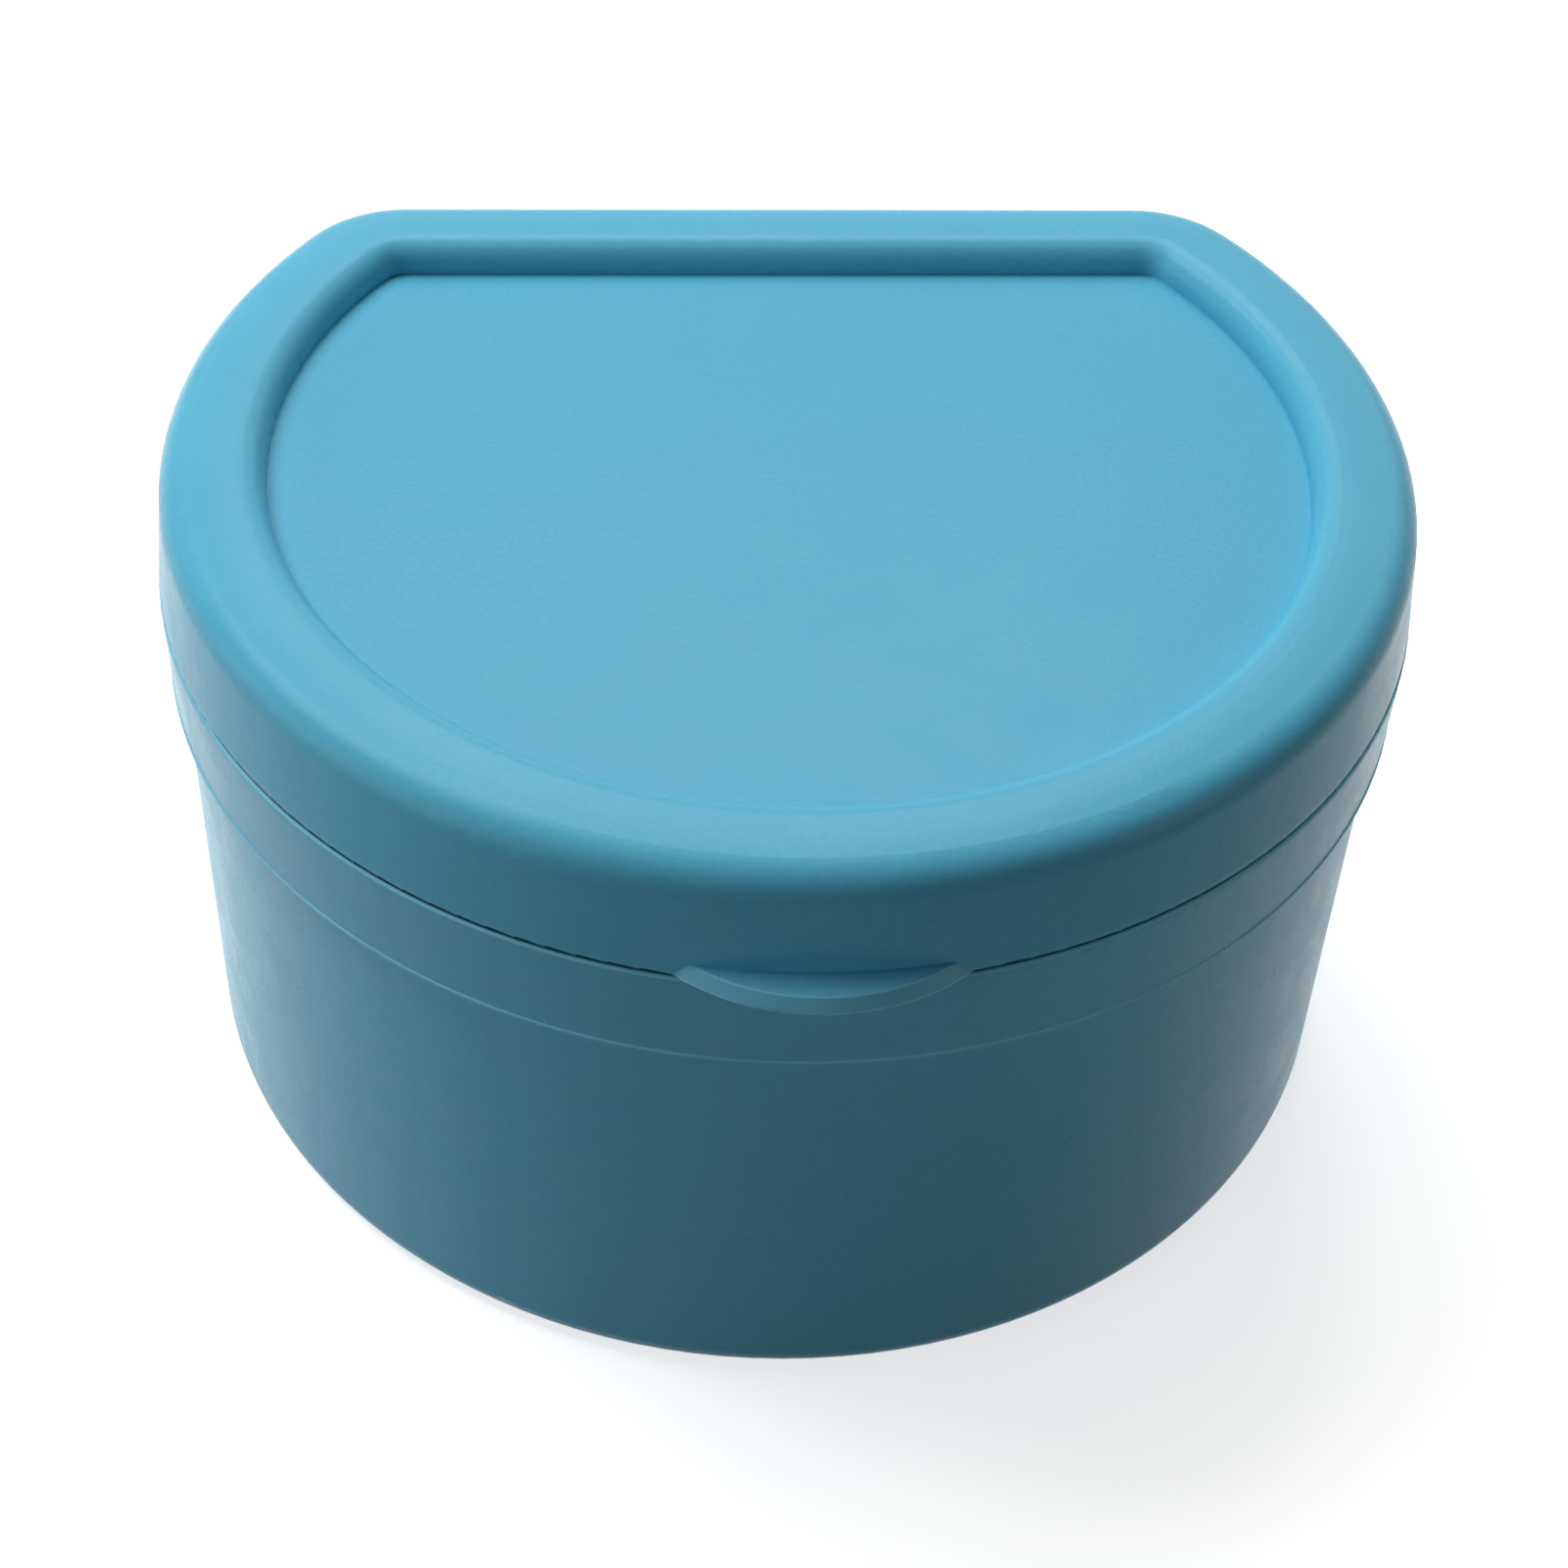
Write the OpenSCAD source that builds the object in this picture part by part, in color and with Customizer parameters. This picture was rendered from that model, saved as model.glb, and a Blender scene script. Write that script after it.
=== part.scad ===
// Storage case for a removable denture: a D-shaped tub, a hinged lid with a thumb tab,
// the hinge pin, and a perforated basket that stands inside.
// Round side towards -Y, flat hinged back towards +Y, +Z up, the case closed.
// The origin is the centre of the footprint, on the surface the case stands on.
// Wall sections are drawn as (distance outside the lid's outline, height).

/* [Outline] */
// Width of the case across its round sides
case_w = 90; // [80:1:110]
// Radius of the lid's two back corners
corner_r = 10; // [9.5:0.5:14]

/* [Tub] */
// Height from the table to the seam under the lid
tub_h = 41.7; // [34:0.1:60]
// Height of the thicker collar under the seam
collar_h = 7.6; // [5:0.1:12]
// How far the collar's top stands out past the lid's outline
collar_out = 0.1; // [-0.2:0.05:0.15]
// How far the collar leans in from its top to its lower edge
collar_lean = 0.25; // [0.1:0.05:0.4]
// How far the body steps in under the collar
collar_step = 0.7; // [0.5:0.05:1]
// Radius of the collar's upper edge
collar_round = 0.3; // [0.1:0.05:0.35]
// Radius of the fine bead along the collar's lower edge
bead_r = 0.25; // [0.2:0.05:0.4]
// How far that bead stands out from the collar
bead_out = 0.1; // [0.05:0.01:0.15]
// How far the body leans in from the collar down to the base
tub_draft = 0.6; // [0.2:0.1:1]
// Thickness of the body wall
tub_wall = 2; // [1.6:0.1:2.4]
// Thickness of the floor
floor_t = 1.6; // [1.2:0.1:3]
// Radius of the outer edge round the base
base_round = 1.9; // [0.8:0.1:2.2]
// Radius between the inner wall and the floor
floor_round = 1.5; // [0.6:0.1:2.4]
// Width of the raised rim that the tub stands on
foot_w = 2.4; // [1.5:0.1:3]
// Height of that rim
foot_h = 0.6; // [0.3:0.1:1.2]
// Height of the inner lip that the lid closes over
lip_h = 2.5; // [1.5:0.1:4]
// Gap between the lip and the lid
lip_gap = 0.3; // [0.25:0.05:0.4]

/* [Lid] */
// Height of the lid's side up to the start of its rounded shoulder
skirt_h = 6.3; // [6:0.1:10]
// Thickness of the lid's side
skirt_t = 1.5; // [1.2:0.1:1.7]
// How far the side leans in over that height
skirt_lean = 0.5; // [0.2:0.1:0.8]
// Radius of the rounded shoulder between the side and the crown
shoulder_r = 2.5; // [2:0.1:2.6]
// Height of the gently domed crown above the start of the shoulder
crown_h = 2.75; // [2.7:0.05:3.2]
// Width of the level crest between the crown and the rim's inner edge
crest_w = 0.7; // [0.2:0.1:1.2]
// Radius of the lid's lower outer edge
seam_round = 0.35; // [0.1:0.05:0.5]
// Width of the rim from the outline in to the sunk panel
rim_w = 8; // [7.6:0.1:8.4]
// Radius of the rim's inner top edge
rim_round = 1.9; // [0.3:0.1:2]
// Depth of the sunk panel below the crest
recess = 2.3; // [2.1:0.1:2.8]
// Thickness of the top
top_t = 1.8; // [1.4:0.1:2.4]

/* [Thumb tab] */
// Width of the tab where it leaves the lid
tab_w = 19; // [12:0.2:26]
// How far the tab stands out at its middle
tab_reach = 2.6; // [1.6:0.1:4]
// Thickness of the tab
tab_t = 1.25; // [1:0.05:2]
// Angle that the tab's face leans back from upright
tab_lean = 31; // [10:1:35]
// Radius of the tab's edges
tab_round = 0.25; // [0.15:0.05:0.4]

/* [Hinge] */
// Distance of the hinge axis behind the lid's flat back
hinge_offset = 4; // [3.6:0.1:6]
// Radius of the knuckles
knuckle_r = 2.4; // [2:0.1:2.8]
// Width of all the knuckles together
hinge_w = 30; // [24:1:44]
// Width of the lid's middle knuckle
lid_knuckle_w = 18; // [10:1:20]
// Side gap between neighbouring knuckles
knuckle_gap = 0.3; // [0.2:0.05:0.6]
// Diameter of the hinge pin
pin_d = 2; // [1.5:0.1:2.4]
// How far the pin's ends lie inside the outer knuckles
pin_sunk = 0.5; // [0:0.1:1]
// Running clearance round the pin in the lid's knuckle
pin_clear = 0.05; // [0.02:0.01:0.09]
// Gap between a knuckle's arm and the seam
arm_gap = 0.4; // [0.4:0.05:0.6]
// Angle at which the heel of the lid's knuckle meets the tub
stop_angle = 120; // [100:1:135]
// Thickness of that heel
heel_t = 1.8; // [1.2:0.1:2]
// Gap left at the heel when the lid stands fully open
heel_gap = 0.1; // [0.05:0.05:0.3]

/* [Basket] */
// Height of the basket from the underside of its floor to its rim
basket_h = 27; // [16:0.5:30]
// Wall and floor thickness of the basket
basket_t = 1.3; // [1:0.1:1.5]
// Gap between the basket's rim and the tub
basket_gap = 0.5; // [0.3:0.1:0.8]
// How far the rim stands out from the basket's wall
basket_rim = 1; // [0.6:0.1:1.2]
// Height of the basket's rim
basket_rim_h = 1.5; // [1:0.1:3]
// How far the basket's wall leans in towards its floor
basket_draft = 1; // [0.4:0.1:1.2]
// Height of the basket's feet
basket_foot_h = 3; // [2:0.2:6]
// Diameter of the basket's feet
basket_foot_d = 4; // [3:0.2:5]
// Height of the two grips above the basket's rim
grip_h = 8; // [5:0.5:9]
// Width of each grip
grip_w = 15; // [10:1:20]
// Diameter of the drain holes in the floor
drain_d = 3.6; // [2:0.2:4]
// Distance between neighbouring drain holes
drain_pitch = 7.5; // [6:0.5:12]
// Width of the slots in the basket's wall
slot_w = 2.4; // [1.5:0.1:3]
// Height of the slots
slot_h = 14; // [6:0.5:18]
// Distance between neighbouring slots along the wall
slot_pitch = 8; // [6:0.5:14]

/* [Hidden] */
$fn = 96;
arc_fn = 48;
// A straight line ends this far inside the arc that it runs into, so that they cross cleanly
bite = 0.002;

// Outline: one round front, two back corners and a flat back. Each corner's centre lies on
// the round's 4:3 diagonal, so every arc runs smoothly into the next.
case_r = case_w / 2;
diagonal = [0.8, 0.6];
corner_dir = atan2(diagonal[1], diagonal[0]);
corner_c = (case_r - corner_r) * diagonal;
flat_y = corner_c[1] + corner_r;
far = 2 * case_w;
// Depth of the swept wall sections, and how far the flat plates reach into them
section_in = 9;
plate_in = 8.7;

// Tub, as distances inside the lid's outline
body_top_in = collar_lean + collar_step - collar_out;
body_base_in = body_top_in + tub_draft;
inner_top_in = body_top_in + tub_wall;
inner_base_in = inner_top_in + tub_draft;
lip_in = skirt_t + lip_gap;
collar_z = tub_h - collar_h;
bead_c = [collar_out - collar_lean + bead_out - bead_r, collar_z + bead_r];
floor_z = foot_h + floor_t;
foot_in = body_base_in + base_round + foot_w;

// Lid: the side stands upright at the seam's rounding, then leans in to the shoulder
lean_h = skirt_h - 2 * seam_round;
lean_angle = atan(skirt_lean / lean_h);
lean_out = [cos(lean_angle), sin(lean_angle)];
shoulder_z = tub_h + skirt_h;
top_z = shoulder_z + crown_h;
panel_z = top_z - recess;
seam_c = [-seam_round, tub_h + seam_round];
shoulder_c = [-skirt_lean - shoulder_r / cos(lean_angle), shoulder_z];
rim_c = [-rim_w + rim_round, top_z - rim_round];

// Crown: a flat arc from the crest down to the shoulder's rounding, which it meets tangentially
crest_in = rim_w - rim_round - crest_w;
crown_dx = crest_in + shoulder_c[0];
crown_in = shoulder_r - bite;
crown_r = round(1000 * (pow(crown_dx, 2) + pow(crown_h, 2) - pow(crown_in, 2))
  / (2 * (crown_h - crown_in))) / 1000;
crown_c = [-crest_in, top_z - crown_r];
crown_dir = atan2(shoulder_c[1] - crown_c[1], shoulder_c[0] - crown_c[0]);
crown_end = shoulder_c + 2 * shoulder_r * [cos(crown_dir), sin(crown_dir)];

// Thumb tab: a disc whose edge passes through both ends of the tab and its middle
tab_sag = case_r + tab_reach - sqrt(pow(case_r, 2) - pow(tab_w / 2, 2));
tab_r = (pow(tab_w / 2, 2) + pow(tab_sag, 2)) / (2 * tab_sag);
tab_y = tab_r - case_r - tab_reach;
// Centres of its lower and upper roundings, and the way that its face looks
tab_low = [tab_r - tab_round, tab_round];
tab_high = [tab_low[0] - (tab_t - 2 * tab_round) * tan(tab_lean), tab_t - tab_round];
tab_out = [cos(tab_lean), sin(tab_lean)];

// Hinge, along X at the height of the seam
hinge_y = flat_y + hinge_offset;
pin_r = pin_d / 2;
heel_len = hinge_offset - collar_out - heel_gap;
heel_y = heel_len * cos(180 + stop_angle) + heel_t * cos(270 + stop_angle);
hinge_reach = hinge_y + max(knuckle_r, heel_y);

// Basket
basket_rim_in = inner_base_in + basket_gap;
basket_top_in = basket_rim_in + basket_rim;
basket_base_in = basket_top_in + basket_draft;
basket_z = floor_z + basket_foot_h;
basket_top_z = basket_z + basket_h;
basket_foot_r = case_r - basket_base_in - basket_foot_d;
foot_dirs = [30, 150, 230, 310];
drain_r = basket_foot_r - (basket_foot_d + drain_d) / 2 - 1;
slot_z = basket_z + (basket_h - slot_h) / 2;
slot_step = slot_pitch / (case_r - basket_top_in) * 180 / PI;
grip_clear_dir = (grip_w / 2 + slot_w) / (case_r - basket_top_in) * 180 / PI;
slot_span = 90 - grip_clear_dir;

// Moves the outline's centre so that the origin is the centre of the footprint
plan_y = (case_r + tab_reach - hinge_reach) / 2;

// Points along the outline, moved out by n
function arc_points(c, r, from, to, count) =
  [for (i = [0:count]) c + r * [cos(from + (to - from) * i / count), sin(from + (to - from) * i / count)]];
function outline_points(n) = concat(
  arc_points([0, 0], case_r + n, 180 - corner_dir, 360 + corner_dir, arc_fn),
  arc_points(corner_c, corner_r + n, corner_dir, 90, 6),
  arc_points([-corner_c[0], corner_c[1]], corner_r + n, 90, 180 - corner_dir, 6));

// An upright prism over the given plan points
module wedge(points) {
  translate([0, 0, -far])
    linear_extrude(2 * far)
      polygon(points);
}

// Carries a wall section along the outline
module along_outline() {
  intersection() {
    rotate_extrude()
      translate([case_r, 0])
        children();
    wedge([[0, 0], far * diagonal, [far, -far], [-far, -far], [-far * diagonal[0], far * diagonal[1]]]);
  }
  for (side = [-1, 1])
    intersection() {
      translate([side * corner_c[0], corner_c[1], 0])
        rotate_extrude()
          translate([corner_r, 0])
            children();
      wedge([
        [side * corner_c[0], corner_c[1]],
        [side * (corner_c[0] + case_r * diagonal[0]), corner_c[1] + case_r * diagonal[1]],
        [side * corner_c[0], far]]);
    }
  translate([-corner_c[0], flat_y, 0])
    rotate([90, 0, 90])
      linear_extrude(2 * corner_c[0])
        children();
}

// A flat plate that closes the middle of a swept shape
module plate(z0, z1) {
  translate([0, 0, z0])
    linear_extrude(z1 - z0)
      polygon(outline_points(-plate_in));
}

// A section block that ends n0 outside the outline at its foot and n1 at its rounded top
module section_block(n0, n1, z0, z1, r) {
  polygon([
    [-section_in, z0], [n0, z0], [n1, z1 - 2 * r], [n1, z1 - r], [n1 - r, z1 - r], [n1 - r, z1],
    [-section_in, z1]]);
  translate([n1 - r, z1 - r])
    circle(r, $fn = arc_fn);
}

module tub_section() {
  difference() {
    union() {
      polygon([
        [-section_in, foot_h], [-foot_in, foot_h], [-foot_in, 0], [-body_base_in - base_round, 0],
        [-body_base_in - base_round, base_round], [-body_base_in, base_round],
        [-body_top_in, collar_z], [-body_top_in, tub_h - collar_round],
        [-section_in, tub_h - collar_round]]);
      translate([-body_base_in - base_round, base_round])
        circle(base_round, $fn = arc_fn);
      section_block(collar_out - collar_lean, collar_out, bead_c[1], tub_h, collar_round);
      polygon([[-section_in, collar_z], [bead_c[0], collar_z], bead_c, [-section_in, bead_c[1]]]);
      translate(bead_c)
        circle(bead_r, $fn = arc_fn);
      section_block(-lip_in, -lip_in, collar_z, tub_h + lip_h, collar_round);
    }
    polygon([
      [-section_in - 1, floor_z], [-inner_base_in - floor_round, floor_z],
      [-inner_base_in - floor_round, floor_z + floor_round], [-inner_base_in, floor_z + floor_round],
      [-inner_top_in, collar_z], [-inner_top_in, top_z], [-section_in - 1, top_z]]);
    translate([-inner_base_in - floor_round, floor_z + floor_round])
      circle(floor_round, $fn = arc_fn);
  }
}

// A run of knuckle along X, centred at x, on its arm. The arm reaches the wall at wall_y and
// lies between the heights z0 and z1, measured from the hinge axis.
module knuckle(x, w, wall_y, z0, z1) {
  translate([x - w / 2, hinge_y, tub_h])
    rotate([0, 90, 0])
      cylinder(r = knuckle_r, h = w);
  translate([x - w / 2, wall_y, tub_h + z0])
    cube([w, hinge_y - wall_y, z1 - z0]);
}

module hinge_bore(r) {
  translate([-hinge_w, hinge_y, tub_h])
    rotate([0, 90, 0])
      cylinder(r = r, h = 2 * hinge_w);
}

module tub() {
  knuckle_w = (hinge_w - lid_knuckle_w) / 2 - knuckle_gap;
  color([0.36, 0.62, 0.72])
    difference() {
      union() {
        along_outline()
          tub_section();
        plate(foot_h, floor_z);
        for (side = [-1, 1])
          knuckle(side * (hinge_w - knuckle_w) / 2, knuckle_w,
            flat_y - body_top_in, -knuckle_r, -arm_gap);
      }
      hinge_bore(pin_r);
    }
}

module lid_section() {
  difference() {
    union() {
      translate(seam_c)
        circle(seam_round, $fn = arc_fn);
      translate(shoulder_c)
        circle(shoulder_r, $fn = 2 * arc_fn);
      intersection() {
        translate(crown_c)
          circle(crown_r, $fn = 4 * arc_fn);
        polygon([
          [-crest_in, shoulder_z], shoulder_c, crown_end, [-crest_in, top_z + shoulder_r]]);
      }
      translate(rim_c)
        circle(rim_round, $fn = arc_fn);
      polygon([
        [-section_in, tub_h], [seam_c[0], tub_h], seam_c, [0, seam_c[1]], [0, shoulder_z - lean_h],
        shoulder_c + (shoulder_r - bite) * lean_out, shoulder_c, [-crest_in, top_z - shoulder_r / 2],
        [-crest_in, top_z], [rim_c[0], top_z], rim_c, [-rim_w, rim_c[1]], [-rim_w, panel_z],
        [-section_in, panel_z]]);
    }
    polygon([
      [-section_in - 1, tub_h - 1], [-skirt_t, tub_h - 1], [-skirt_t, tub_h],
      [-skirt_t - skirt_lean, shoulder_z], [-skirt_t - skirt_lean - top_t / 2, top_z - top_t],
      [-rim_w + top_t, top_z - top_t], [-rim_w + top_t, panel_z - top_t],
      [-section_in - 1, panel_z - top_t]]);
  }
}

// Crescent under the thumb: the part of a round-edged disc that lies outside the lid's side
module thumb_tab() {
  difference() {
    translate([0, tab_y, tub_h])
      rotate_extrude()
        difference() {
          union() {
            polygon([
              [0, 0], [tab_low[0], 0], tab_low, tab_low + (tab_round - bite) * tab_out,
              tab_high + (tab_round - bite) * tab_out, tab_high, [tab_high[0], tab_t], [0, tab_t]]);
            for (c = [tab_low, tab_high])
              translate(c)
                circle(tab_round, $fn = arc_fn);
          }
          translate([-tab_r, -tab_t])
            square([tab_r, 3 * tab_t]);
        }
    translate([0, 0, tub_h - tab_t])
      cylinder(r = case_r - skirt_t / 2, h = 3 * tab_t);
  }
}

module lid() {
  color([0.43, 0.72, 0.83])
    difference() {
      union() {
        along_outline()
          lid_section();
        plate(panel_z - top_t, panel_z);
        thumb_tab();
        knuckle(0, lid_knuckle_w, flat_y - skirt_t / 2, 0, knuckle_r);
        translate([-lid_knuckle_w / 2, hinge_y, tub_h])
          rotate([180 + stop_angle, 0, 0])
            cube([lid_knuckle_w, heel_len, heel_t]);
      }
      hinge_bore(pin_r + pin_clear);
    }
}

module hinge_pin() {
  color("silver")
    translate([-hinge_w / 2 + pin_sunk, hinge_y, tub_h])
      rotate([0, 90, 0])
        cylinder(r = pin_r, h = hinge_w - 2 * pin_sunk);
}

module basket_section() {
  rim_z = basket_top_z - basket_rim_h;
  polygon([
    [-section_in, basket_z], [-basket_base_in - basket_t / 2, basket_z],
    [-basket_base_in, basket_z + basket_t / 2], [-basket_top_in, rim_z], [-basket_rim_in, rim_z],
    [-basket_rim_in, basket_top_z], [-basket_top_in - basket_t, basket_top_z],
    [-basket_base_in - basket_t, basket_z + basket_t], [-section_in, basket_z + basket_t]]);
}

// Outline of a grip seen along X: a plate with round upper corners
module grip_outline() {
  r = grip_h / 2;
  translate([-grip_w / 2, -basket_rim_h])
    square([grip_w, grip_h - r + basket_rim_h]);
  translate([-grip_w / 2 + r, 0])
    square([grip_w - 2 * r, grip_h]);
  for (side = [-1, 1])
    translate([side * (grip_w / 2 - r), grip_h - r])
      circle(r, $fn = arc_fn);
}

// Both grips: the stretch of a round wall that lies inside the grips' outline
module grips() {
  intersection() {
    rotate_extrude()
      translate([case_r - basket_top_in - basket_t, basket_top_z - basket_rim_h / 2])
        square([basket_t, 2 * grip_h]);
    translate([-case_r, 0, basket_top_z])
      rotate([90, 0, 90])
        linear_extrude(case_w)
          grip_outline();
  }
}

// Drain holes on a staggered grid, kept inside the feet and off the back wall
module drain_holes() {
  row_step = drain_pitch * sqrt(3) / 2;
  rows = ceil(case_r / row_step);
  for (row = [-rows:rows])
    for (col = [-rows:rows]) {
      p = [(col + (row % 2 == 0 ? 0 : 0.5)) * drain_pitch, row * row_step];
      if (norm(p) < drain_r && p[1] < flat_y - section_in - drain_d)
        translate([p[0], p[1], basket_z - basket_t])
          cylinder(d = drain_d, h = 3 * basket_t, $fn = arc_fn);
    }
}

// Upright slots round the wall, clear of the grips, and along the flat back
module wall_slots() {
  count = floor(slot_span / slot_step);
  for (i = [-count:count])
    rotate([0, 0, 270 + i * slot_step])
      translate([case_r - section_in, -slot_w / 2, slot_z])
        cube([section_in, slot_w, slot_h]);
  back_count = floor((corner_c[0] - slot_w) / slot_pitch);
  for (i = [-back_count:back_count])
    translate([i * slot_pitch - slot_w / 2, flat_y - section_in, slot_z])
      cube([slot_w, section_in, slot_h]);
}

module basket() {
  color("white") {
    difference() {
      union() {
        along_outline()
          basket_section();
        plate(basket_z, basket_z + basket_t);
        grips();
      }
      drain_holes();
      wall_slots();
    }
    for (dir = foot_dirs)
      rotate([0, 0, dir])
        translate([basket_foot_r, 0, floor_z])
          cylinder(d = basket_foot_d, h = basket_foot_h + basket_t / 2, $fn = arc_fn);
  }
}

translate([0, plan_y, 0]) tub();
translate([0, plan_y, 0]) lid();
translate([0, plan_y, 0]) hinge_pin();
translate([0, plan_y, 0]) basket();
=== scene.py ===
"""Looks for the denture case: moulded plastic, drawn steel and the studio around them."""

import math

import bpy
from bpy.props import FloatProperty, FloatVectorProperty, PointerProperty
from mathutils import Matrix, Vector

bl_info = {
    "name": "Denture case looks",
    "version": (1, 0, 0),
    "blender": (4, 5, 0),
    "location": "View3D > Sidebar > Denture case",
    "description": "Finishes, studio and camera for a hinged denture case",
    "category": "Object",
}

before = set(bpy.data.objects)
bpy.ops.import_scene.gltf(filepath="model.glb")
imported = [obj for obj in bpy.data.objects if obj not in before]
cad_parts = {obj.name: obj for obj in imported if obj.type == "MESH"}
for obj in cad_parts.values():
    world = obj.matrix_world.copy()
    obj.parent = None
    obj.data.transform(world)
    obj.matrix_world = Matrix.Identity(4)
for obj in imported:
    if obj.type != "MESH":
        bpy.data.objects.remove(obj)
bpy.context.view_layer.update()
MM = 0.001

# Settings of the pieces and of the studio


class ShellFinishSettings(bpy.types.PropertyGroup):
    """The blue plastic of the tub and the lid."""

    colour: FloatVectorProperty(
        name="Plastic colour", description="Colour of the tub and the lid", subtype="COLOR",
        size=3, min=0, max=1, default=(0.1, 0.4533, 0.6447),
    )
    grain_size: FloatProperty(
        name="Grain size", description="Width of one bump of the moulded grain", subtype="DISTANCE",
        unit="LENGTH", min=0.05 * MM, max=2 * MM, default=0.32 * MM, precision=5,
    )
    grain_height: FloatProperty(
        name="Grain height", description="Height of the moulded grain", subtype="DISTANCE",
        unit="LENGTH", min=0, max=0.1 * MM, default=0.019 * MM, precision=6,
    )
    roughness: FloatProperty(
        name="Roughness", description="Roughness of the grained outside", subtype="FACTOR", min=0,
        max=1, default=0.28,
    )
    polish: FloatProperty(
        name="Inside polish", description="How much smoother the polished inside is", subtype="FACTOR",
        min=0, max=1, default=0.35,
    )
    # Painted highlights on the collar's rounded top, the bead, the thumb tab and the crest: the colour
    # they lean to, and how far
    painted_highlight_colour: FloatVectorProperty(
        name="Edge colour", description="Colour that the paler edges, the tab and the crest lean to",
        subtype="COLOR", size=3, min=0, max=1, default=(0.25, 0.69, 0.89),
    )
    painted_highlight_strength: FloatProperty(
        name="Edge tint", description="How far the paler edges lean to the edge colour",
        subtype="FACTOR", min=0, max=1, default=1,
    )
    # Painted shade along the seam, on the collar's flat top and on the lid's lowest strip
    painted_seam_shade: FloatProperty(
        name="Seam shade", description="How dark the line along the seam is", subtype="FACTOR", min=0,
        max=1, default=0.8,
    )


class PinFinishSettings(bpy.types.PropertyGroup):
    """The drawn steel of the hinge pin."""

    colour: FloatVectorProperty(
        name="Steel colour", description="Colour of the hinge pin", subtype="COLOR", size=3, min=0, max=1,
        default=(0.72, 0.73, 0.74),
    )
    roughness: FloatProperty(
        name="Roughness", description="Roughness of the drawn steel", subtype="FACTOR", min=0, max=1,
        default=0.28,
    )


class BasketFinishSettings(bpy.types.PropertyGroup):
    """The white plastic of the drain basket."""

    colour: FloatVectorProperty(
        name="Plastic colour", description="Colour of the drain basket", subtype="COLOR", size=3,
        min=0, max=1, default=(0.80, 0.82, 0.82),
    )
    roughness: FloatProperty(
        name="Roughness", description="Roughness of the basket", subtype="FACTOR", min=0, max=1,
        default=0.38,
    )


class StudioSettings(bpy.types.PropertyGroup):
    """The floor, the lamps and the camera."""

    floor_colour: FloatVectorProperty(
        name="Floor colour", description="Colour of the floor as the camera sees it", subtype="COLOR",
        size=3, min=0, max=1, default=(0.9, 0.9, 0.9),
    )
    floor_bounce: FloatProperty(
        name="Floor bounce", description="How pale the floor is to the light that it throws back",
        subtype="FACTOR", min=0, max=1, default=0.18,
    )
    back_power: FloatProperty(
        name="Back lamp", description="Power of the lamp high behind the case", subtype="POWER",
        unit="POWER", min=0, default=2.4,
    )
    back_left_power: FloatProperty(
        name="Back left lamp", description="Power of the lamp high at the back left", subtype="POWER",
        unit="POWER", min=0, default=2.75,
    )
    back_right_power: FloatProperty(
        name="Back right lamp", description="Power of the lamp at the back right", subtype="POWER",
        unit="POWER", min=0, default=0.36,
    )
    low_right_power: FloatProperty(
        name="Low right lamp", description="Power of the low lamp at the right", subtype="POWER",
        unit="POWER", min=0, default=0.65,
    )
    low_left_power: FloatProperty(
        name="Low left lamp", description="Power of the low lamp at the left", subtype="POWER",
        unit="POWER", min=0, default=0.86,
    )
    low_front_left_power: FloatProperty(
        name="Low front left lamp", description="Power of the low lamp at the front left", subtype="POWER",
        unit="POWER", min=0, default=0.88,
    )
    lamp_size: FloatProperty(
        name="Lamp size", description="Side of each square soft lamp", subtype="DISTANCE",
        unit="LENGTH", min=0.01, default=0.35,
    )
    lamp_distance: FloatProperty(
        name="Lamp distance", description="From each lamp to the middle of the case", subtype="DISTANCE",
        unit="LENGTH", min=0.1, default=0.7,
    )
    floor_glow: FloatProperty(
        name="Floor glow", description="Light that the floor shows to the camera and in reflections",
        min=0, max=2, default=0.7,
    )
    lens: FloatProperty(
        name="Lens", description="Focal length on a 36 mm wide sensor", subtype="DISTANCE_CAMERA",
        unit="CAMERA", min=10, max=300, default=74.9453,
    )
    distance: FloatProperty(
        name="Camera distance", description="From the camera to the point it looks at",
        subtype="DISTANCE", unit="LENGTH", min=0.05, max=5, default=0.245208, precision=5,
    )
    elevation: FloatProperty(
        name="Camera elevation", description="How far the camera looks down", subtype="ANGLE",
        unit="ROTATION", default=math.radians(43.3216),
    )
    turn: FloatProperty(
        name="Camera turn", description="How far the camera stands to the left of the front",
        subtype="ANGLE", unit="ROTATION", default=math.radians(4.8398),
    )
    roll: FloatProperty(
        name="Camera roll", description="How far the camera is tipped about its own line of sight",
        subtype="ANGLE", unit="ROTATION", default=math.radians(2.7919),
    )
    aim: FloatVectorProperty(
        name="Camera aim", description="Point that the camera looks at", subtype="XYZ",
        unit="LENGTH", size=3, default=(0.000084, -0.002108, 0.022951),
    )


# Helpers for building materials

# Width in metres of one blob of Blender's noise at a scale of one
BLOB_AT_SCALE_ONE = 0.7
# The middle of the noise's values, nearly all of them, and their mean
NOISE_MIDDLE = (0.35, 0.65)
NOISE_REACH = (0.3, 0.7)
NOISE_MEAN = 0.5
# Share of a band, at each of its ends, over which its mark fades
BAND_FADE = 0.25


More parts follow.
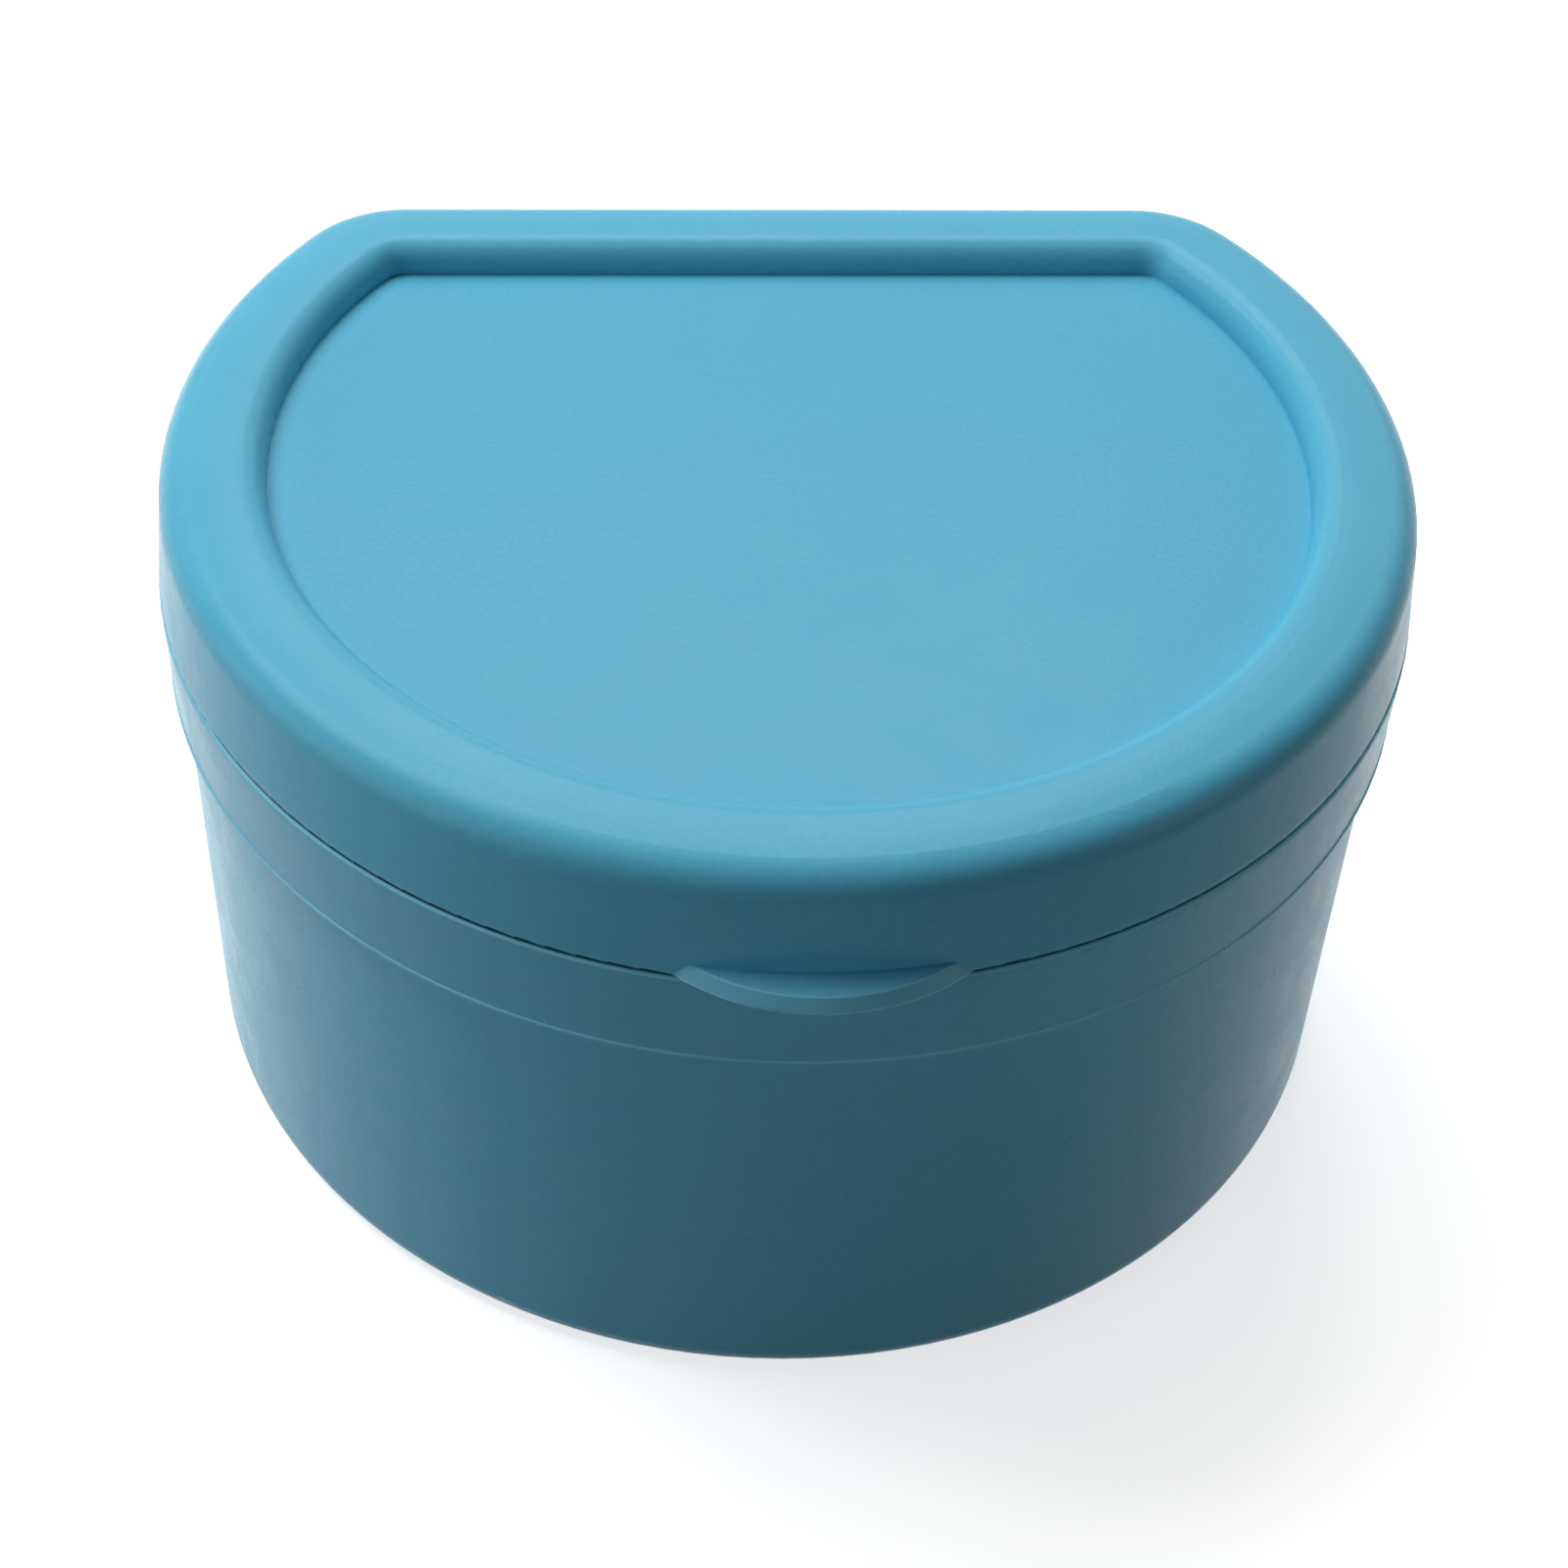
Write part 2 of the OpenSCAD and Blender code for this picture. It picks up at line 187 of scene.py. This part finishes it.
class Nodes:
    """The emptied node tree of a material or a world, and short words for adding nodes to it."""

    def __init__(self, owner):
        owner.use_nodes = True
        self.tree = owner.node_tree
        self.tree.nodes.clear()

    def add(self, kind, **values):
        node = self.tree.nodes.new(kind)
        for name, value in values.items():
            setattr(node, name, value)
        return node

    def link(self, source, target):
        self.tree.links.new(source, target)

    def feed(self, target, value):
        """Links a socket to the target, or sets a plain value on it."""
        if isinstance(value, bpy.types.NodeSocket):
            self.link(value, target)
        elif value is not None:
            target.default_value = value

    def math(self, operation, first, second=None):
        node = self.add("ShaderNodeMath", operation=operation)
        self.feed(node.inputs[0], first)
        self.feed(node.inputs[1], second)
        return node.outputs[0]

    def ramp(self, value, low, high, to_low=0.0, to_high=1.0, smooth=True):
        """Leads low to to_low and high to to_high, and holds those beyond them."""
        node = self.add("ShaderNodeMapRange", interpolation_type="SMOOTHSTEP" if smooth else "LINEAR")
        numbers = {"Value": value, "From Min": low, "From Max": high, "To Min": to_low, "To Max": to_high}
        for name, number in numbers.items():
            self.feed(node.inputs[name], number)
        return node.outputs[0]

    def matt(self, colour):
        node = self.add("ShaderNodeBsdfDiffuse")
        node.inputs["Color"].default_value = (*colour, 1)
        return node.outputs[0]

    def seen_directly(self):
        """One for the camera, for reflections and for light through clear parts, nothing for the rest."""
        path = self.add("ShaderNodeLightPath").outputs
        either = self.math("MAXIMUM", path["Is Camera Ray"], path["Is Glossy Ray"])
        return self.math("MAXIMUM", either, path["Is Transmission Ray"])


class Shader(Nodes):
    """A fresh node material with a principled surface."""

    def __init__(self, name):
        self.material = bpy.data.materials.new(name)
        super().__init__(self.material)
        output = self.add("ShaderNodeOutputMaterial")
        self.surface = self.add("ShaderNodeBsdfPrincipled")
        self.link(self.surface.outputs["BSDF"], output.inputs["Surface"])
        self.place = self.add("ShaderNodeTexCoord").outputs

    def noise(self, size, detail=2.0, stretch=None):
        """Noise whose blobs are about size metres wide, read at the piece's own place."""
        vector = self.place["Object"]
        if stretch:
            mapping = self.add("ShaderNodeMapping")
            mapping.inputs["Scale"].default_value = stretch
            self.link(vector, mapping.inputs["Vector"])
            vector = mapping.outputs[0]
        node = self.add("ShaderNodeTexNoise")
        node.inputs["Scale"].default_value = BLOB_AT_SCALE_ONE / size
        node.inputs["Detail"].default_value = detail
        self.link(vector, node.inputs["Vector"])
        return node.outputs["Fac"]

    def mix(self, factor, first, second):
        node = self.add("ShaderNodeMix", data_type="RGBA")
        self.feed(node.inputs["Factor"], factor)
        colours = [s for s in node.inputs if s.type == "RGBA"]
        for socket, colour in zip(colours, (first, second)):
            self.feed(socket, colour if isinstance(colour, bpy.types.NodeSocket) else (*colour, 1))
        return [s for s in node.outputs if s.type == "RGBA"][0]

    def parts(self, vector):
        """The X, Y and Z of a vector, by name."""
        node = self.add("ShaderNodeSeparateXYZ")
        self.link(vector, node.inputs[0])
        return node.outputs

    def uneven(self, value, noise, less, more):
        """A value that the noise lowers by up to less and raises by up to more."""
        return self.math("ADD", self.ramp(noise, *NOISE_REACH, -less, more), value)

    def bump(self, height, distance, below=None):
        node = self.add("ShaderNodeBump")
        node.inputs["Strength"].default_value = 1.0
        node.inputs["Distance"].default_value = distance
        self.link(height, node.inputs["Height"])
        if below is not None:
            self.link(below, node.inputs["Normal"])
        return node.outputs["Normal"]


def shade(colour, factor):
    """A colour made darker or lighter, held within white."""
    return tuple(min(1.0, level * factor) for level in colour)


def put_on(node_name, material):
    """Gives a CAD node's mesh one material in place of its own."""
    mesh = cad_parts[node_name].data
    for index in range(len(mesh.materials)):
        mesh.materials[index] = material


# Places on the shell in the shared frame. The walls' middles part the grained outside from the hollow.
SEAM_Z = 41.7 * MM
BEAD_Z = 34.35 * MM
CREST_Z = 50.75 * MM
ROUND_CENTRE_Y = 4.5706 * MM
TUB_WALL_MIDDLE = 42.6 * MM
TUB_BACK_MIDDLE = 33.2 * MM
TUB_FLOOR_MIDDLE = 1.6 * MM
LID_SIDE = 45 * MM
LID_SIDE_MIDDLE = 44 * MM
LID_BACK = 35.65 * MM
LID_BACK_MIDDLE = 34.5 * MM
LID_PANEL_MIDDLE = 47.6 * MM

# Heights, or distances from the axis, between which each painted highlight or painted shade lies or grows
COLLAR_EDGE = (SEAM_Z - 0.36 * MM, SEAM_Z + 0.02 * MM)
BEAD_BAND = (BEAD_Z - 0.2 * MM, BEAD_Z + 0.35 * MM)
COLLAR_TOP = (SEAM_Z - 0.06 * MM, SEAM_Z + 0.06 * MM)
LID_FOOT = (SEAM_Z + 0.12 * MM, SEAM_Z + 0.4 * MM)
CREST_RISE = (CREST_Z - 0.5 * MM, CREST_Z - 0.25 * MM)
TAB_ROOT = (LID_SIDE + 0.05 * MM, LID_SIDE + 0.3 * MM)

# How far a face looks up, from -1 for straight down to 1 for straight up
ROUNDING_UP = (0.05, 0.35)
LEVEL_UP = (0.9, 0.97)
TAB_TOP_EDGE_UP = (0.55, 1.0)
TAB_LOW_EDGE_UP = (-0.2, 0.45)
CEILING_UP = -0.9

# Shares of the painted highlight colour on the whole thumb tab, a painted lighter tone, and on the crest
# round the panel, a painted highlight
TAB_PAINTED_LIGHT = 0.42
CREST_PAINTED_HIGHLIGHT = 0.12
# Share of the plastic's colour that is left at full painted shade along the seam
SEAM_PAINTED_SHADE = 0.3

# Patterns of the shell's plastic: the clouds' width and shades, and the shade of the grain's specks
CLOUD_SIZE = 22 * MM
CLOUD_DARK = 0.975
CLOUD_LIGHT = 1.02
SPECK_DARK = 0.96
# The painted highlights are patchy: the noise's limits, and the least share that is left
PATCH_SIZE = 6 * MM
PATCH_REACH = (0.25, 0.7)
PATCH_LEAST = 0.75
# Slow waves of the mould: width and height against one grain's, and sway of the roughness
WAVE_WIDTH = 9
WAVE_HEIGHT = 0.3
SHELL_SWAY = 0.03
SHELL_SPECULAR = 0.1
PLASTIC_IOR = 1.49

# The steel's draw lines: width, stretch along the pin, height and the darkest line
DRAW_WIDTH = 0.12 * MM
DRAW_STRETCH = (0.03, 1, 1)
DRAW_HEIGHT = 0.004 * MM
DRAW_DARK = 0.9
DRAW_SMOOTHER = 0.06
DRAW_ROUGHER = 0.08

# The basket's plastic: clouds, and a grain finer than the shell's
MILK_SIZE = 14 * MM
MILK_DARK = 0.97
BASKET_GRAIN_SIZE = 0.22 * MM
BASKET_GRAIN_HEIGHT = 0.006 * MM
BASKET_SWAY = 0.03

# Finishes of the pieces


def moulded_plastic(name, settings, is_inside, marks):
    """Satin plastic from a grained mould: grain outside, polished inside, painted highlights and painted
    shade along its edges.
    """
    s = Shader(name)
    place = s.parts(s.place["Object"])
    up = s.parts(s.place["Normal"])["Z"]
    inside = is_inside(s, place, up)
    painted_highlight_mask, painted_shade_mask = marks(s, place, up)
    grain = s.noise(settings.grain_size)
    wave = s.noise(WAVE_WIDTH * settings.grain_size)
    cloud = s.ramp(s.noise(CLOUD_SIZE, detail=3.0), *NOISE_MIDDLE)
    patch = s.ramp(s.noise(PATCH_SIZE, detail=3.0), *PATCH_REACH, PATCH_LEAST, 1.0)
    clouded = s.mix(cloud, shade(settings.colour, CLOUD_DARK), shade(settings.colour, CLOUD_LIGHT))
    speckled = s.mix(s.ramp(grain, *NOISE_MIDDLE), clouded, shade(settings.colour, SPECK_DARK))
    # Painted highlights lean the colour to the highlight colour in patches, and painted shade darkens it
    # along the seam
    tint = s.math("MULTIPLY", s.math("MULTIPLY", painted_highlight_mask, patch), settings.painted_highlight_strength)
    with_painted_highlights = s.mix(tint, speckled, settings.painted_highlight_colour)
    seam = s.math("MULTIPLY", painted_shade_mask, settings.painted_seam_shade)
    s.link(s.mix(seam, with_painted_highlights, shade(settings.colour, SEAM_PAINTED_SHADE)), s.surface.inputs["Base Color"])
    rough = s.uneven(settings.roughness, wave, SHELL_SWAY, SHELL_SWAY)
    smoother = s.math("SUBTRACT", 1.0, s.math("MULTIPLY", inside, settings.polish))
    s.link(s.math("MULTIPLY", rough, smoother), s.surface.inputs["Roughness"])
    s.surface.inputs["IOR"].default_value = PLASTIC_IOR
    s.surface.inputs["Specular IOR Level"].default_value = SHELL_SPECULAR
    relief = s.bump(wave, WAVE_HEIGHT * settings.grain_height)
    level_grain = s.ramp(inside, 0.0, 1.0, grain, NOISE_MEAN, smooth=False)
    s.link(s.bump(level_grain, settings.grain_height, relief), s.surface.inputs["Normal"])
    return s.material


def within(s, value, limit):
    """One where the value is less than the limit."""
    return s.math("LESS_THAN", value, limit)


def between(s, value, low, high):
    """One where the value lies well between two limits, fading to nothing at both."""
    fade = BAND_FADE * (high - low)
    rising = s.ramp(value, low, low + fade)
    falling = s.ramp(value, high - fade, high, 1.0, 0.0)
    return s.math("MULTIPLY", rising, falling)


def from_axis(s, place):
    """Distance from the upright axis of the case's round front, seen from above."""
    along = s.math("SUBTRACT", place["Y"], ROUND_CENTRE_Y)
    return s.math("SQRT", s.math("ADD", s.math("POWER", place["X"], 2.0), s.math("POWER", along, 2.0)))


def tub_inside(s, place, up):
    """The tub's hollow, behind the middle of its wall and above its floor."""
    in_round = within(s, from_axis(s, place), TUB_WALL_MIDDLE)
    off_back = within(s, place["Y"], TUB_BACK_MIDDLE)
    above = s.math("GREATER_THAN", place["Z"], TUB_FLOOR_MIDDLE)
    return s.math("MULTIPLY", s.math("MULTIPLY", in_round, off_back), above)


def lid_inside(s, place, up):
    """The lid's hollow: behind its side and below the panel, or facing down."""
    facing_down = within(s, up, CEILING_UP)
    in_round = within(s, from_axis(s, place), LID_SIDE_MIDDLE)
    off_back = within(s, place["Y"], LID_BACK_MIDDLE)
    low = within(s, place["Z"], LID_PANEL_MIDDLE)
    hollow = s.math("MULTIPLY", s.math("MULTIPLY", in_round, off_back), low)
    return s.math("MAXIMUM", facing_down, hollow)


def tub_painted_light(s, place, up):
    """Painted highlight on the rounding of the collar's top and on the bead at its foot, painted shade on
    its flat top.
    """
    # Painted highlight on the upward-facing part of the collar's top rounding and of the bead
    edges = s.math("MAXIMUM", between(s, place["Z"], *COLLAR_EDGE), between(s, place["Z"], *BEAD_BAND))
    painted_highlight_mask = s.math("MULTIPLY", s.ramp(up, *ROUNDING_UP), edges)
    # Painted shade on the collar's flat top at the seam
    painted_shade_mask = s.math("MULTIPLY", between(s, place["Z"], *COLLAR_TOP), s.ramp(up, *LEVEL_UP))
    return painted_highlight_mask, painted_shade_mask


def lid_painted_light(s, place, up):
    """Painted highlight on the crest and the thumb tab, most on the tab's edges, and painted shade along
    the seam.
    """
    # Painted lighter tone over the thumb tab, with painted highlights on its rounded edges, and a painted
    # highlight on the crest
    off_side = s.ramp(from_axis(s, place), *TAB_ROOT)
    edges = s.math("MAXIMUM", between(s, up, *TAB_TOP_EDGE_UP), between(s, up, *TAB_LOW_EDGE_UP))
    tab = s.math("MULTIPLY", off_side, s.math("MAXIMUM", edges, TAB_PAINTED_LIGHT))
    crest = s.ramp(place["Z"], *CREST_RISE, 0.0, CREST_PAINTED_HIGHLIGHT)
    # Painted shade on the lid's lowest strip along the seam, on its side but not on the tab
    along_seam = s.ramp(place["Z"], *LID_FOOT, 1.0, 0.0)
    on_side = s.math("MULTIPLY", s.math("SUBTRACT", 1.0, off_side), within(s, place["Y"], LID_BACK))
    return s.math("MAXIMUM", tab, crest), s.math("MULTIPLY", along_seam, on_side)


def drawn_steel(name, settings):
    """Steel wire with fine draw lines along the pin."""
    s = Shader(name)
    lines = s.noise(DRAW_WIDTH, stretch=DRAW_STRETCH)
    s.surface.inputs["Metallic"].default_value = 1.0
    drawn = s.mix(s.ramp(lines, *NOISE_REACH), shade(settings.colour, DRAW_DARK), settings.colour)
    s.link(drawn, s.surface.inputs["Base Color"])
    rough = s.uneven(settings.roughness, lines, DRAW_SMOOTHER, DRAW_ROUGHER)
    s.link(rough, s.surface.inputs["Roughness"])
    s.link(s.bump(lines, DRAW_HEIGHT), s.surface.inputs["Normal"])
    return s.material


def basket_plastic(name, settings):
    """Milky white plastic with a finer and shallower grain than the shell's."""
    s = Shader(name)
    cloud = s.noise(MILK_SIZE, detail=3.0)
    grain = s.noise(BASKET_GRAIN_SIZE)
    milky = s.mix(s.ramp(cloud, *NOISE_MIDDLE), shade(settings.colour, MILK_DARK), settings.colour)
    s.link(milky, s.surface.inputs["Base Color"])
    rough = s.uneven(settings.roughness, cloud, BASKET_SWAY, BASKET_SWAY)
    s.link(rough, s.surface.inputs["Roughness"])
    s.surface.inputs["IOR"].default_value = PLASTIC_IOR
    s.link(s.bump(grain, BASKET_GRAIN_HEIGHT), s.surface.inputs["Normal"])
    return s.material


class OBJECT_OT_shell_finish(bpy.types.Operator):
    """Finish the tub and the lid in grained satin plastic"""

    bl_idname = "denture_case.shell_finish"
    bl_label = "Tub and lid"

    def execute(self, context):
        settings = context.scene.case_shell
        put_on("tub", moulded_plastic("tub_plastic", settings, tub_inside, tub_painted_light))
        put_on("lid", moulded_plastic("lid_plastic", settings, lid_inside, lid_painted_light))
        return {"FINISHED"}


class OBJECT_OT_pin_finish(bpy.types.Operator):
    """Finish the hinge pin in drawn steel"""

    bl_idname = "denture_case.pin_finish"
    bl_label = "Hinge pin"

    def execute(self, context):
        put_on("hinge_pin", drawn_steel("pin_steel", context.scene.case_pin))
        return {"FINISHED"}


class OBJECT_OT_basket_finish(bpy.types.Operator):
    """Finish the drain basket in milky white plastic"""

    bl_idname = "denture_case.basket_finish"
    bl_label = "Drain basket"

    def execute(self, context):
        put_on("basket", basket_plastic("basket_plastic", context.scene.case_basket))
        return {"FINISHED"}


# Floor, lamps and camera

# Where each lamp stands: degrees round from the front towards the right, and degrees up
LAMPS = {
    "back": (180, 55),
    "back_left": (240, 55),
    "back_right": (135, 30),
    "low_right": (60, 8),
    "low_left": (270, 8),
    "low_front_left": (300, 8),
}
# The point that the lamps face, and the side of the square floor in metres
LAMP_CENTRE = Vector((0, 0, 30 * MM))
FLOOR_SIZE = 3
# Between these distances from the floor's middle its glow rises to white, beyond the lamps' reach
NEAR_FLOOR = 150 * MM
FAR_FLOOR = 600 * MM
# The camera's sensor in millimetres, and the distances in metres between which it sees
SENSOR_WIDTH = 36
CLIP_NEAR = 0.005
CLIP_FAR = 20


def studio_floor(settings):
    """A pale floor that looks white, keeps the shadow and throws little light back."""
    bpy.ops.mesh.primitive_plane_add(size=FLOOR_SIZE)
    floor = bpy.context.object
    floor.name = "studio_floor"
    material = bpy.data.materials.new("studio_floor")
    n = Nodes(material)
    away = n.add("ShaderNodeVectorMath", operation="LENGTH")
    n.link(n.add("ShaderNodeTexCoord").outputs["Object"], away.inputs[0])
    far = away.outputs["Value"]
    glow = n.add("ShaderNodeEmission")
    glow.inputs["Color"].default_value = (1, 1, 1, 1)
    brightness = n.ramp(far, NEAR_FLOOR, FAR_FLOOR, settings.floor_glow, 1.0, smooth=False)
    n.link(brightness, glow.inputs["Strength"])
    pale = n.add("ShaderNodeAddShader")
    n.link(n.matt(settings.floor_colour), pale.inputs[0])
    n.link(glow.outputs[0], pale.inputs[1])
    floor_mix = n.add("ShaderNodeMixShader")
    n.link(n.seen_directly(), floor_mix.inputs[0])
    n.link(n.matt([settings.floor_bounce] * 3), floor_mix.inputs[1])
    n.link(pale.outputs[0], floor_mix.inputs[2])
    n.link(floor_mix.outputs[0], n.add("ShaderNodeOutputMaterial").inputs["Surface"])
    floor.data.materials.append(material)


def studio_world():
    """White to the camera and in reflections, dark to everything else."""
    world = bpy.data.worlds.new("studio")
    n = Nodes(world)
    white = n.add("ShaderNodeBackground")
    white.inputs["Color"].default_value = (1, 1, 1, 1)
    n.link(n.seen_directly(), white.inputs["Strength"])
    n.link(white.outputs[0], n.add("ShaderNodeOutputWorld").inputs["Surface"])
    bpy.context.scene.world = world


def outward(turn, rise):
    """From the case outwards, turned from the front towards the right and raised, in radians."""
    level = math.cos(rise)
    return Vector((math.sin(turn) * level, -math.cos(turn) * level, math.sin(rise)))


def soft_lamp(name, settings):
    """A square soft lamp on a wide circle round the case, which it faces."""
    away = outward(*(math.radians(angle) for angle in LAMPS[name]))
    lamp = bpy.data.lights.new(name, "AREA")
    lamp.shape = "SQUARE"
    lamp.size = settings.lamp_size
    lamp.energy = getattr(settings, name + "_power")
    holder = bpy.data.objects.new(name, lamp)
    bpy.context.scene.collection.objects.link(holder)
    place = LAMP_CENTRE + settings.lamp_distance * away
    holder.matrix_world = Matrix.Translation(place) @ away.to_track_quat("Z", "Y").to_matrix().to_4x4()


def studio_camera(settings):
    """The camera of the photograph, from the angles and distance fitted to it."""
    camera = bpy.data.cameras.new("studio_camera")
    camera.sensor_width = SENSOR_WIDTH
    camera.lens = settings.lens
    camera.clip_start = CLIP_NEAR
    camera.clip_end = CLIP_FAR
    holder = bpy.data.objects.new("studio_camera", camera)
    bpy.context.scene.collection.objects.link(holder)
    back = outward(-settings.turn, settings.elevation)
    right = Vector((math.cos(settings.turn), -math.sin(settings.turn), 0))
    up = back.cross(right)
    side = math.cos(settings.roll) * right + math.sin(settings.roll) * up
    top = back.cross(side)
    place = Vector(settings.aim) + back * settings.distance
    holder.matrix_world = Matrix.Translation(place) @ Matrix((side, top, back)).transposed().to_4x4()
    bpy.context.scene.camera = holder


class OBJECT_OT_studio(bpy.types.Operator):
    """Set up the floor, the lamps and the camera"""

    bl_idname = "denture_case.studio"
    bl_label = "Studio"

    def execute(self, context):
        settings = context.scene.case_studio
        studio_floor(settings)
        studio_world()
        for name in LAMPS:
            soft_lamp(name, settings)
        studio_camera(settings)
        context.scene.view_settings.view_transform = "Standard"
        return {"FINISHED"}


class VIEW3D_PT_denture_case(bpy.types.Panel):
    """Finishes and studio of the denture case"""

    bl_idname = "VIEW3D_PT_denture_case"
    bl_label = "Denture case"
    bl_space_type = "VIEW_3D"
    bl_region_type = "UI"
    bl_category = "Denture case"

    def draw(self, context):
        for operator, group in STEPS:
            box = self.layout.box()
            box.operator(operator.bl_idname)
            settings = getattr(context.scene, group)
            for name in settings.__annotations__:
                box.prop(settings, name)


SETTINGS = {
    "case_shell": ShellFinishSettings,
    "case_pin": PinFinishSettings,
    "case_basket": BasketFinishSettings,
    "case_studio": StudioSettings,
}
STEPS = (
    (OBJECT_OT_studio, "case_studio"),
    (OBJECT_OT_shell_finish, "case_shell"),
    (OBJECT_OT_pin_finish, "case_pin"),
    (OBJECT_OT_basket_finish, "case_basket"),
)
CLASSES = (*SETTINGS.values(), *(step[0] for step in STEPS), VIEW3D_PT_denture_case)


def register():
    for cls in CLASSES:
        bpy.utils.register_class(cls)
    for name, cls in SETTINGS.items():
        setattr(bpy.types.Scene, name, PointerProperty(type=cls))


def unregister():
    for name in SETTINGS:
        delattr(bpy.types.Scene, name)
    for cls in reversed(CLASSES):
        bpy.utils.unregister_class(cls)


def main():
    register()
    for operator, _ in STEPS:
        group, name = operator.bl_idname.split(".")
        getattr(getattr(bpy.ops, group), name)()


if __name__ == "__main__":
    main()
